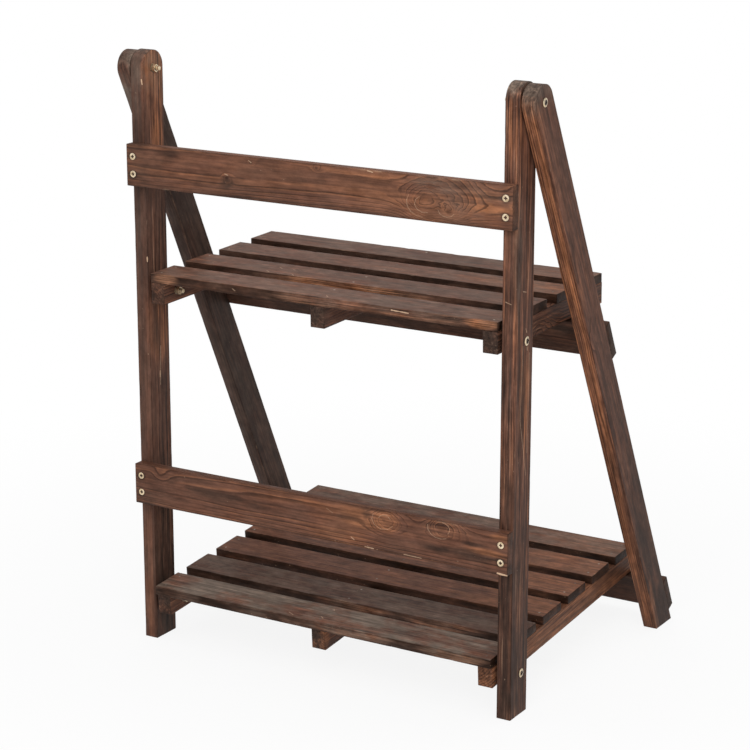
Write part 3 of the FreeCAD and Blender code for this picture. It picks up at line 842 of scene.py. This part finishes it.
SLAT_GLOW = Patch("warm", 0.22, (190, 0, SLAT_SKIN), (110, 60, 12))
# Dark rings round the screw heads: char with a painted shadow in the gap round each head
SCREW_CHAR_AND_SHADE_RINGS = [Patch("char", 0.7, (along, across, RAIL_FACE), (7, 7, 3))
               for along in (-SCREW_ALONG, SCREW_ALONG) for across in (-SCREW_ACROSS, SCREW_ACROSS)]
BOARD_LOOKS = {
    "upper_guard_rail": {
        "pith": (10, -56), "warm": 0.54,
        "knots": [
            Knot(141, -6, 23, -7.0, 0.0, 0.1), Knot(170, -11, 9, -3.0, 0.6, 0.1), Knot(222, 26, 26, 3.5, 0.0, 0.0),
            Knot(-78, 18, 4, 1.5, 0.6, 0.0), Knot(-110, -2, 5, 1.5, 0.6, 0.0), Knot(7, 20, 4, 1.5, 0.5, 0.0),
        ],
        "patches": [
            *patches_on(RAIL_FACE, [
                ("char", 0.45, (-313, 0), (100, 500, 80), 0.9), ("char", 0.4, (-183, 17), (16, 7, 8)),
                ("char", 0.4, (-110, -8), (11, 9, 8)), ("char", 0.5, (138, 3), (8, 4, 8)),
                ("char", 0.35, (182, 19), (16, 4, 8)), ("char", 0.35, (212, 9), (30, 3, 8)),
                ("warm", 0.4, (222, -4), (30, 5, 8)), ("char", 0.2, (-90, 0), (150, 60, 8)),
                # The char along the bottom edge, across -25, is char and painted shade under the rail
                ("char", 0.35, (0, -25), (WHOLE_FACE, 8, 14)), ("contrast", -0.55, (-60, 13), (185, 20, 14)),
                ("contrast", -0.1, (150, 2), (60, 34, 14)), ("char", 0.15, (160, -16), (40, 9, 8)),
                ("warm", 0.15, (80, 5), (60, 30, 10)), ("char", 0.25, (-195, 5), (25, 30, 10)),
                ("contrast", -0.1, (147, 15), (36, 10, 8)), ("ash", 0.45, (147, 14), (34, 10, 8)),
                ("ash", 0.2, (195, 3), (50, 30, 8)), ("warm", 0.15, (215, 0), (34, 24, 8)),
            ]),
            *SCREW_CHAR_AND_SHADE_RINGS,
        ],
        "scratches": [
            *lines_on(RAIL_FACE, [
                ((-80, 20), (-77, 18), 0.7, 0.6), ((-112, 2), (-108, 1), 0.7, 0.6), ((72, 23), (78, 22), 0.7),
            ]),
            *knot_arc((141, -6), 9, 120, 290), *knot_arc((139, -5), 15, 150, 270), *knot_arc((168, -9), 8, 190, 330),
        ],
    },
    "lower_guard_rail": {
        "pith": (8, -50), "warm": 0.45,
        "knots": [
            Knot(91, 13, 14, -5.0, 0.1, 0.4), Knot(163, 17, 14, -5.0, 0.5, 0.15), Knot(-210, 15, 9, 1.3, 0.0, 0.0),
        ],
        "patches": [
            *patches_on(RAIL_FACE, [
                ("char", 0.5, (-110, 3), (100, 9, 10)), ("char", 0.65, (190, -8), (66, 7, 10)),
                ("char", 0.6, (207, 5), (22, 3, 8)), ("warm", 0.4, (222, -1), (30, 5, 10)),
                ("warm", 0.45, (236, 18), (16, 6, 10)), ("char", 0.5, (70, 17), (7, 8, 8)),
                ("char", 0.3, (-230, 0), (30, 60, 14)), ("warm", 0.25, (40, 0), (60, 40, 10)),
                # The char along the bottom edge, across -25, is char and painted shade under the rail
                ("char", 0.3, (0, -25), (WHOLE_FACE, 6, 14)), ("warm", 0.25, (60, 12), (30, 14, 8)),
                ("warm", 0.2, (-40, 18), (70, 10, 10)), ("contrast", 0.3, (91, 13), (26, 16, 8)),
                ("fibre", 0.5, (91, 13), (24, 14, 8)), ("contrast", 0.3, (163, 15), (28, 16, 8)),
                ("fibre", 0.5, (163, 15), (26, 14, 8)),
            ]),
            *SCREW_CHAR_AND_SHADE_RINGS,
        ],
        "scratches": [
            *lines_on(RAIL_FACE, [
                ((50, -14), (54, -16.5), 0.8, 0.7), ((68, -22), (79, -22.5), 0.7, 0.7),
                ((118, -22), (140, -22.5), 0.6, 0.6), ((234, -22), (246, -23), 1.3), ((18, 14), (26, 10), 0.5, 0.25),
            ]),
            *knot_arc((91, 13), 11, 150, 330), *knot_arc((93, 13), 6, 20, 160), *knot_arc((163, 16), 12, 170, 300),
            *knot_arc((166, 16), 7, -40, 90),
        ],
    },
    "front_post_left": {
        "pith": (8, 62), "warm": 0.19, "char": 0.2, "contrast": 0.7, "streak": 0.7, "ash": 0.12,
        "patches": [
            *patches_on(POST_SIDE, [
                ("warm", 0.45, (300, 0), (90, 40, 4)), ("char", 0.55, (-310, 0), (150, 40, 6)),
                ("warm", 0.3, (335, 0), (40, 30, 8)), ("warm", 0.35, (245, -4), (35, 20, 5)),
                ("warm", 0.5, (30, 0), (60, 30, 6)),
            ]),
            Patch("fibre", -0.7, (0, POST_FRONT, 0), (WHOLE_FACE, 10, 40), 0.9),
            Patch("contrast", -0.5, (0, POST_FRONT, 0), (WHOLE_FACE, 10, 40), 0.9),
            Patch("warm", 0.25, (-290, POST_FRONT, 0), (110, 6, 12)),
            Patch("char", -0.2, (330, POST_FRONT, 0), (60, 30, 14)), Patch("ash", 0.4, (340, 10, 0), (60, 60, 40)),
            Patch("warm", -0.12, (220, POST_FRONT, 0), (180, 8, 14)),
        ],
        "scratches": [
            *lines_on(POST_SIDE, [((-40, 0), (6, -2), 0.7, 0.5), ((-30, 0), (-24, 0), 1.6, 0.5)]),
            Scratch((318, POST_FRONT, 6), (313, POST_FRONT, 7), 1.1),
            Scratch((115, POST_FRONT, 8), (110, POST_FRONT, 8), 1.1, 0.8),
        ],
    },
    "front_post_right": {
        "pith": (4, 62), "warm": 0.42, "char": 0.05, "contrast": 0.9, "streak": 1.3,
        "patches": [
            *patches_on(POST_SIDE, [
                ("warm", 0.35, (10, 0), (70, 14, 5)), ("char", 0.5, (160, 14), (80, 12, 6)),
                ("warm", 0.2, (0, -4), (90, 16, 5)), ("warm", -0.1, (195, 0), (60, 30, 6)),
            ]),
            Patch("char", 0.35, (433, 0, 0), (100, 400, 300), 0.9), Patch("char", 0.7, (-350, 0, 0), (290, 120, 80)),
            Patch("ash", 0.9, (433, 0, 0), (100, 400, 300), 0.9), Patch("ash", 0.3, (165, 14, 8), (80, 12, 6)),
            Patch("warm", -0.2, (-250, POST_FRONT, 0), (150, 10, 14)),
            Patch("char", 0.25, (-90, 16, 4), (90, 14, 10)), Patch("char", 0.3, (-165, 10, 8), (60, 20, 10)),
            Patch("warm", 0.25, (305, POST_FRONT, 0), (40, 8, 12)),
            Patch("warm", -0.2, (20, POST_FRONT, 0), (80, 8, 12)),
        ],
        "scratches": [
            *lines_on(POST_SIDE, [
                ((-75, -8), (-10, 7), 0.7, 0.35), ((-10, 7), (70, 3), 0.7, 0.35), ((-50, -10), (60, -12), 0.7, 0.35),
                ((88, -3), (84, -5), 0.8, 0.7), ((68, -6), (64, -7), 0.8, 0.7), ((130, 5), (128, -2), 0.6, 0.5),
            ]),
            Scratch((120, POST_FRONT, -5), (118, POST_FRONT, 2), 0.6, 0.4),
        ],
    },
    "rear_leg_right": {
        "pith": (16, 70), "spacing": 2.6, "warm": 0.66, "char": 0.0, "contrast": 1.0, "streak": 0.8, "blotch": 1.2,
        "knots": [
            Knot(-190, -8, 8, 1.5, 0.45, 0.0), Knot(-150, -4, 9, 1.5, 0.2, 0.0), Knot(68, 5, 14, 1.5, 0.0, 0.0),
        ],
        "patches": [
            *patches_on(POST_SIDE, [
                ("char", 0.3, (0, -8), (WHOLE_FACE, 34, 5)), ("warm", 0.1, (230, 10), (110, 14, 5)),
                ("contrast", -0.7, (0, -10), (WHOLE_FACE, 40, 6)), ("warm", -0.25, (-20, -8), (WHOLE_FACE, 40, 5)),
                ("fibre", -0.5, (0, -8), (WHOLE_FACE, 28, 5), 0.5), ("char", 0.35, (-290, -8), (150, 40, 6)),
            ]),
            Patch("char", 0.5, (396, 10, 0), (30, 40, 24)), Patch("ash", 0.6, (396, 0, 0), (32, 60, 24)),
            Patch("warm", 0.1, (100, POST_FRONT, 0), (260, 6, 14)), Patch("char", 0.25, (-200, 12, 0), (170, 40, 30)),
            Patch("char", 0.45, (-385, 0, 0), (70, 60, 30)), Patch("char", 0.18, (-90, 5, 4), (110, 40, 14)),
        ],
    },
    "rear_leg_left": {
        "warm": 0.06, "char": 0.6, "contrast": 0.25, "streak": 0.4, "fibre": 0.55, "ash": 0.2,
        "patches": [
            Patch("char", -0.5, (375, 0, 0), (70, 90, 50)), Patch("warm", 0.2, (355, 0, 0), (60, 90, 50)),
            Patch("ash", 0.8, (365, 0, 0), (80, 90, 50)),
        ],
    },
    "upper_rear_rail": {"warm": 0.3, "char": 0.6, "contrast": 0.8},
    "lower_rear_rail": {"warm": 0.3, "char": 0.6, "contrast": 0.6},
    "upper_slat_1": {
        "warm": 0.5, "char": 0.03, "ash": 0.42,
        "patches": [
            *bare_edge(-203, 20, 0.6), *bare_edge(207, 24, 0.7), *bare_edge(10, 70, 0.1), *bare_edge(135, 80, 0.1),
            Patch("warm", -0.2, (110, 0, SLAT_SKIN), (130, 40, 8)),
            Patch("char", 0.12, (120, 0, SLAT_SKIN), (110, 40, 8)),
        ],
        "scratches": [
            *lines_on(SLAT_TOP, [((6, -12), (10, -16), 1.0, 0.5), ((130, 20), (122, 16), 0.7, 0.4)]),
            Scratch((-112, SLAT_EDGE, 1), (-108, SLAT_EDGE, -1), 0.6, 0.5),
            Scratch((95, SLAT_EDGE, 2.5), (116, SLAT_EDGE, 1.5), 0.9, 0.9),
        ],
    },
    "upper_slat_2": {
        "char": 0.05,
        "patches": [*bare_edge(-20, 100), *bare_edge(60, 50), Patch("warm", -0.12, (60, 0, SLAT_SKIN), (120, 40, 8))],
        "scratches": [
            *lines_on(SLAT_TOP, [
                ((-112, 6), (-106, 2), 0.8, 0.5), ((-92, 4), (-88, 2), 0.8, 0.4),
                ((-116, -15), (-110, -19), 0.8, 0.5), ((-80, -17), (-76, -20), 0.8, 0.5),
            ]),
        ],
    },
    "upper_slat_3": {"patches": [SLAT_GLOW]},
    "upper_slat_4": {"patches": [SLAT_GLOW]},
    "lower_slat_1": {
        "warm": 0.42, "char": 0.0, "ash": 1.25, "soot": 0.95, "blotch": 1.1, "fibre": 0.8,
        "patches": [*bare_edge(180, 50, 0.5), *bare_edge(40, 60, 0.1)],
        "scratches": [
            *lines_on(SLAT_TOP, [
                ((0, 16), (3, 12), 0.8, 0.5), ((-2, -8), (2, -11), 0.8, 0.5), ((-42, -14), (-34, -18), 0.7, 0.5),
            ]),
        ],
    },
    "lower_slat_2": {"warm": 0.2, "char": 0.12, "ash": 0.5, "patches": [*bare_edge(10, 60), *bare_edge(130, 60)]},
    "lower_slat_3": {"warm": 0.46, "char": 0.06, "ash": 0.1, "patches": [SLAT_GLOW]},
    "lower_slat_4": {"warm": 0.46, "char": 0.06, "ash": 0.1, "patches": [SLAT_GLOW]},
    "lower_slat_5": {"warm": 0.4, "char": 0.06, "ash": 0.2, "patches": [SLAT_GLOW]},
    "lower_slat_6": {"warm": 0.4, "char": 0.04, "ash": 0.6, "patches": [SLAT_GLOW]},
    "upper_bearer_centre": {"patches": [Patch("char", 0.8, (UPPER_TIP, 4, 0), (14, 20, 20))]},
    "upper_bearer_right": {"warm": 0.36, "char": 0.32, "contrast": 1.0, "knots": [Knot(-35, 2, 22, -5.0, 0.3, 0.0)]},
    "lower_bearer_centre": {
        "warm": 0.42,
        "patches": [
            Patch("char", 0.25, (LOWER_TIP, 0, 0), (12, 20, 20), 0.5),
            Patch("warm", 0.55, (LOWER_TIP, 0, 0), (12, 20, 20), 0.5),
        ],
    },
    "lower_bearer_right": {
        "warm": 0.78, "char": 0.34, "contrast": 0.4,
        "patches": [
            Patch("char", -0.35, (LOWER_TIP, 0, 0), (12, 30, 30), 0.5),
            Patch("contrast", 0.5, (LOWER_TIP, 0, 0), (12, 30, 30), 0.5),
            Patch("char", 0.2, (120, 0, 8), (90, 30, 10)),
        ],
    },
}
ARRISES = {"rail": 0.5 * MM, "post": 0.4 * MM, "slat": 0.5 * MM, "bearer": 0.5 * MM}
KINDS = {"rail": "rail", "post": "post", "leg": "post", "slat": "slat", "bearer": "bearer"}
FITTINGS = {"screws", "nails", "bolt", "nut", "washers", "spacers"}


def kind_of(node_name):
    """What kind of board a CAD node is, or None for a fitting."""
    words = node_name.split("_")
    if FITTINGS.intersection(words):
        return None
    return next(kind for word, kind in KINDS.items() if word in words)


def varied_look(name, kind):
    """Look of one board: its kind's, varied a little by its name, and what the photograph shows of it."""
    luck = random.Random(name + "_look")
    look = dict(KIND_LOOKS[kind])
    look["pith"] = tuple(value * luck.uniform(*PITH_SPREAD) * luck.choice(PITH_SIDES) for value in look["pith"])
    look["warm"] += luck.uniform(-WARM_SPREAD, WARM_SPREAD)
    look["char"] += luck.uniform(-CHAR_SPREAD, CHAR_SPREAD)
    look.update(BOARD_LOOKS.get(name, {}))
    return look


def build_boards():
    """A worn board in place of each CAD board."""
    for name, node in frame["nodes"].items():
        kind = kind_of(name)
        if kind is None:
            continue
        piece = board_piece(name + "_board", node, kind, ARRISES[kind], random.Random(name))
        piece.data.materials.append(board_material(name + "_wood", varied_look(name, kind)))
        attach(piece, node["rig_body"])
        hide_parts(name)


def bolt_head(node):
    """Middle of a bolt head's outer face."""
    places = [vertex.co for vertex in node.data.vertices]
    middle = sum(places, Vector()) / len(places)
    return [max((place.x for place in places), key=abs), middle.y, middle.z]


def finish_fittings():
    """Brass on the screws, bolts, nuts, washers and spacers, and steel on the nails."""
    finishes = {"nails": steel_material(), "screws": brass_material("brass", SCREW_TARNISH_AND_DARK_REFLECTION)}
    tarnished_dark_reflecting = brass_material("tarnished_brass", NUT_TARNISH_AND_DARK_REFLECTION)
    for name, node in frame["nodes"].items():
        if kind_of(name) is not None:
            continue
        finish = finishes.get(name.split("_")[-1], tarnished_dark_reflecting)
        if "bolt" in name:
            finish = brass_material(name + "_brass", BOLT_TARNISH_AND_DARK_REFLECTION, bolt_head(node))
        node.data.materials.clear()
        node.data.materials.append(finish)


def lay_floor():
    """White floor that still takes a soft shadow."""
    bpy.ops.mesh.primitive_plane_add(size=FLOOR_SIZE)
    floor = bpy.context.object
    floor.name = "floor"
    material, graph, surface = new_material("floor_white")
    rays = graph.node("LightPath").outputs
    seen = graph.math("MAXIMUM", rays["Is Camera Ray"], rays["Is Glossy Ray"])
    away = graph.vector("LENGTH", graph.node("TexCoord").outputs["Object"])
    share = graph.blend(graph.step(away, *FLOOR_WHITE_FADE), FLOOR_WHITE_NEAR, 1.0)
    plain = graph.node("BsdfDiffuse")
    plain.inputs["Color"].default_value = FLOOR_GREY
    white = graph.node("Emission")
    white.inputs["Strength"].default_value = 1.0
    mixed = graph.fed("MixShader", graph.times(seen, share), plain.outputs[0], white.outputs[0])
    graph.feed(surface, mixed[0])
    floor.data.materials.append(material)


def light_world():
    """World that looks white and lights softly."""
    world = bpy.data.worlds.new("studio")
    bpy.context.scene.world = world
    world.use_nodes = True
    world.node_tree.nodes.clear()
    graph = Graph(world.node_tree)
    rays = graph.node("LightPath").outputs
    direct = graph.math("MAXIMUM", rays["Is Camera Ray"], graph.times(rays["Is Glossy Ray"], WORLD_IN_GLOSS))
    direct = graph.math("MAXIMUM", direct, rays["Is Transmission Ray"])
    glow = graph.node("Background")
    graph.feed(glow.inputs["Strength"], graph.blend(direct, WORLD_LIGHT, 1.0))
    graph.feed(graph.node("OutputWorld").inputs["Surface"], glow.outputs[0])


def hang_lamps():
    """Large soft lamps that face the object."""
    for lamp in LAMPS:
        light = bpy.data.lights.new(lamp.name, "AREA")
        light.size = lamp.size
        light.energy = lamp.power
        holder = bpy.data.objects.new(lamp.name, light)
        bpy.context.scene.collection.objects.link(holder)
        holder.location = lamp.place
        aim = LAMP_AIM - Vector(lamp.place)
        holder.rotation_euler = aim.to_track_quat("-Z", "Y").to_euler()


def camera():
    """Camera at the photograph's angle."""
    azimuth, elevation = math.radians(CAMERA_AZIMUTH), math.radians(CAMERA_ELEVATION)
    back = Vector((math.sin(azimuth) * math.cos(elevation), -math.cos(azimuth) * math.cos(elevation),
                   math.sin(elevation)))
    lens = bpy.data.cameras.new("camera")
    lens.lens = CAMERA_LENS
    lens.sensor_width = CAMERA_SENSOR
    holder = bpy.data.objects.new("camera", lens)
    bpy.context.scene.collection.objects.link(holder)
    holder.location = CAMERA_TARGET + back * CAMERA_DISTANCE
    holder.rotation_euler = (-back).to_track_quat("-Z", "Y").to_euler()
    bpy.context.scene.camera = holder


bpy.context.scene.view_settings.view_transform = "Standard"
build_boards()
finish_fittings()
lay_floor()
light_world()
hang_lamps()
camera()
